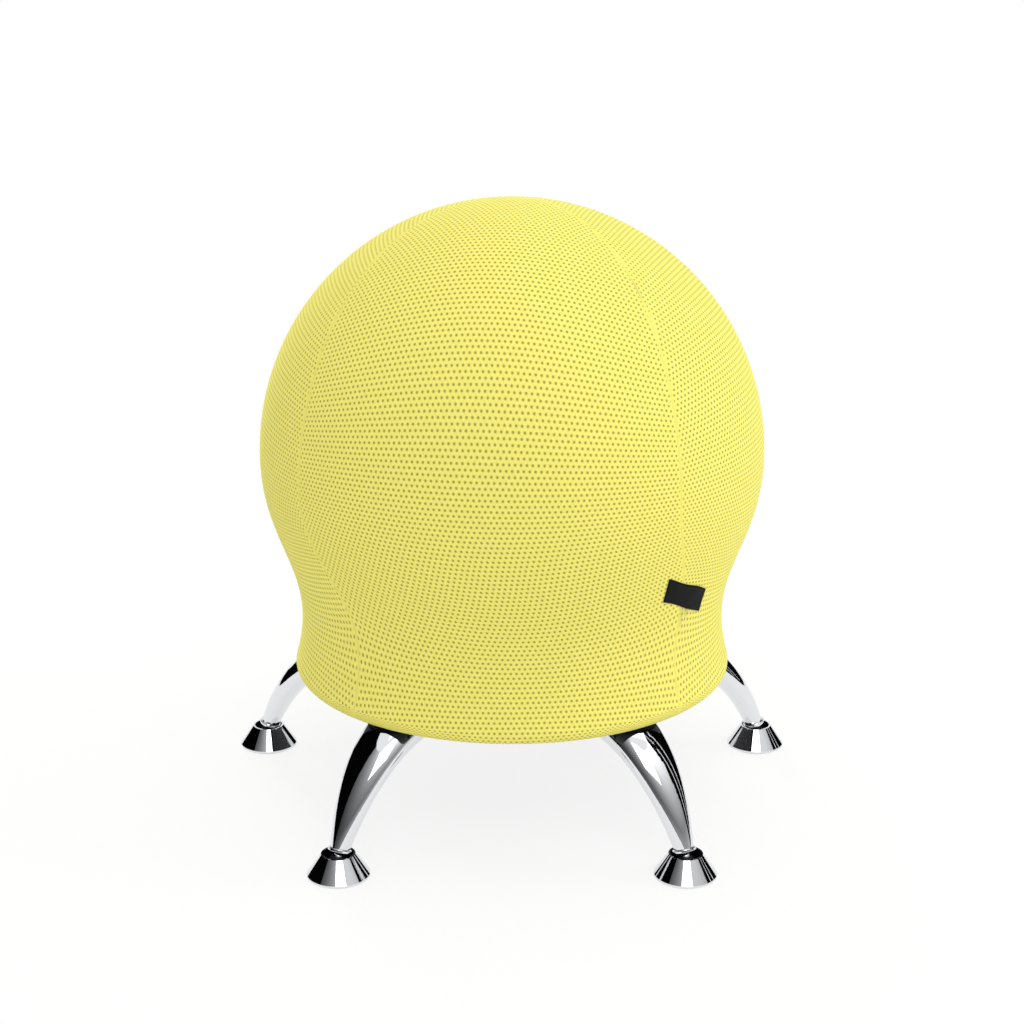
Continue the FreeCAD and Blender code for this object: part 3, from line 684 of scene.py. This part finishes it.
# %% Lay the floor
bm = bmesh.new()
bmesh.ops.create_circle(bm, cap_ends=True, segments=96, radius=30)
floor = new_piece("studio_floor", bm, smooth=False)
paper = bpy.data.materials.new("white_studio_paper")
paper.use_nodes = True
floor.data.materials.append(paper)
paper.node_tree.nodes.remove(paper.node_tree.nodes["Principled BSDF"])
lit = add(paper, "BsdfDiffuse", {"Color": linear("#F4F4F4")})
white = add(paper, "Emission", {"Color": (1, 1, 1, 1), "Strength": 1.0})
place = add(paper, "TexCoord")
spread = add(paper, "VectorMath", {0: place.outputs["Object"]}, operation="LENGTH")
# Under the chair 0.82 of what is seen is the paper's own white, and from 1.1 m out all of it is.
near, far, white_share = 0.35, 1.1, 0.82
plainness = add(
    paper, "MapRange", {0: spread.outputs["Value"], 1: near, 2: far, 3: white_share, 4: 1.0},
    interpolation_type="SMOOTHSTEP",
)
share = add(paper, "Math", {0: directly_seen(paper), 1: plainness.outputs[0]}, operation="MULTIPLY")
sheet = add(paper, "MixShader", {0: share.outputs[0], 1: lit.outputs[0], 2: white.outputs[0]})
out = paper.node_tree.nodes["Material Output"]
paper.node_tree.links.new(sheet.outputs[0], out.inputs["Surface"])

# %% [markdown]
# ## Lamps
#
# The photograph is lit almost evenly from all round, so the world gives most of the light. One
# soft box hangs in front above the camera and one over the chair, one stands on the right, and a
# weak one far behind on the left lifts that edge a little. The chrome doesn't mirror the last two.

# %% Place the lamps and the world
def soft_box(name, place, size, power, target=(0, 0, 0.3)):
    """A rectangular lamp of so many watts, turned towards a target."""
    lamp = bpy.data.objects.new(name, bpy.data.lights.new(name, "AREA"))
    lamp.data.shape = "RECTANGLE"
    lamp.data.size, lamp.data.size_y = size
    lamp.data.energy = power
    lamp.location = place
    aim = Vector(target) - Vector(place)
    lamp.rotation_euler = aim.to_track_quat("-Z", "Y").to_euler()
    scene.collection.objects.link(lamp)
    return lamp


soft_box("front_top_box", (0.25, -1.9, 2.2), (1.6, 1.2), 16)
soft_box("ceiling_box", (0.2, 0.1, 2.4), (1.8, 1.8), 10)
side_box = soft_box("right_side_box", (2.3, -0.1, 1.1), (1.0, 1.4), 16)
rim_box = soft_box("left_rim_box", (-0.8, 1.9, 0.8), (0.4, 1.4), 16)
side_box.visible_glossy = rim_box.visible_glossy = False
world = bpy.data.worlds.new("studio")
scene.world = world
world.use_nodes = True
world_light = 0.7
level = add(world, "MapRange", {0: directly_seen(world), 3: world_light, 4: 1.0})
sky = world.node_tree.nodes["Background"]
sky.inputs["Color"].default_value = (1, 1, 1, 1)
world.node_tree.links.new(level.outputs[0], sky.inputs["Strength"])

# %% [markdown]
# ## Flags and drapes for the chrome
#
# In an all-white studio chrome looks like white paint. What it mirrors in the photograph is a white
# floor, a black wall on each side, and a grey room in front that is darkest a little above the
# horizon and brightens towards the right. Two narrow gaps in the right wall give the thin bright
# stripes on the cups. Only reflections see these walls: the camera, the lamps'
# light and the shadows pass through. The yellow cover is kept out of the reflections too, as the
# dark tops of the legs show.

# %% Stand the flags and drapes
felt, shader = start_finish("black_flag_felt", "#060606", 1.0)
shader.inputs["Specular IOR Level"].default_value = 0.0
wall_reach, wall_height = 6.0, 11.0

# The grey drape glows by itself instead of being lit: its grey, darker near the floor, is painted light.
drape = bpy.data.materials.new("glowing_grey_drape")
drape.use_nodes = True
drape.node_tree.nodes.remove(drape.node_tree.nodes["Principled BSDF"])
place = add(drape, "TexCoord")
split = add(drape, "SeparateXYZ", {"Vector": place.outputs["Object"]})
rise = add(drape, "MapRange", {0: split.outputs[2], 2: wall_height})
grey = add(drape, "ValToRGB", {"Fac": rise.outputs[0]})
# The ramp keeps its own two ends, black at the floor and white at the top.
for position, tone in ((0.02, "#8A8A8A"), (0.12, "#666666"), (0.3, "#8E8E8E"), (0.6, "#C8C8C8")):
    stop = grey.color_ramp.elements.new(position)
    stop.color = linear(tone)
left_end, right_end, left_glow, right_glow = -0.95 * wall_reach, 0.94 * wall_reach, 0.25, 2.2
from_left = add(
    drape, "MapRange", {0: split.outputs[0], 1: left_end, 2: right_end, 3: left_glow, 4: right_glow}
)
# The glow rises from left to right, as painted light standing for a room lit more from the right.
glow = add(drape, "Emission", {"Color": grey.outputs[0], "Strength": from_left.outputs[0]})
drape.node_tree.links.new(glow.outputs[0], drape.node_tree.nodes["Material Output"].inputs["Surface"])


def stand(name, material, points, start, sweep):
    """A strip between two points, (distance, height), swept round the world's upright axis.

    Only reflections see it.
    """
    bm = bmesh.new()
    pair = [bm.verts.new((reach, 0, height)) for reach, height in points]
    edge = bm.edges.new(pair)
    to_start = Matrix.Rotation(math.radians(start), 3, "Z")
    bmesh.ops.rotate(bm, cent=(0, 0, 0), matrix=to_start, verts=bm.verts)
    bmesh.ops.spin(
        bm, geom=pair + [edge], cent=(0, 0, 0), axis=(0, 0, 1), angle=math.radians(sweep), steps=32,
        use_duplicate=False,
    )
    wall = new_piece(name, bm, material)
    wall.visible_camera = wall.visible_diffuse = wall.visible_shadow = wall.visible_transmission = False


upright = ((wall_reach, 0.0), (wall_reach, wall_height))
for number, (start, sweep) in enumerate(((-8, 13), (7, 12), (21, 47), (128, 77)), 1):
    stand(f"black_wall_{number}", felt, upright, start, sweep)
stand("grey_wall", drape, upright, 205, 147)
for side, start, sweep in (("right", -8, 76), ("left", 128, 72)):
    stand(f"black_carpet_{side}", felt, ((1.3, 0.001), (wall_reach, 0.001)), start, sweep)
cover.visible_glossy = False
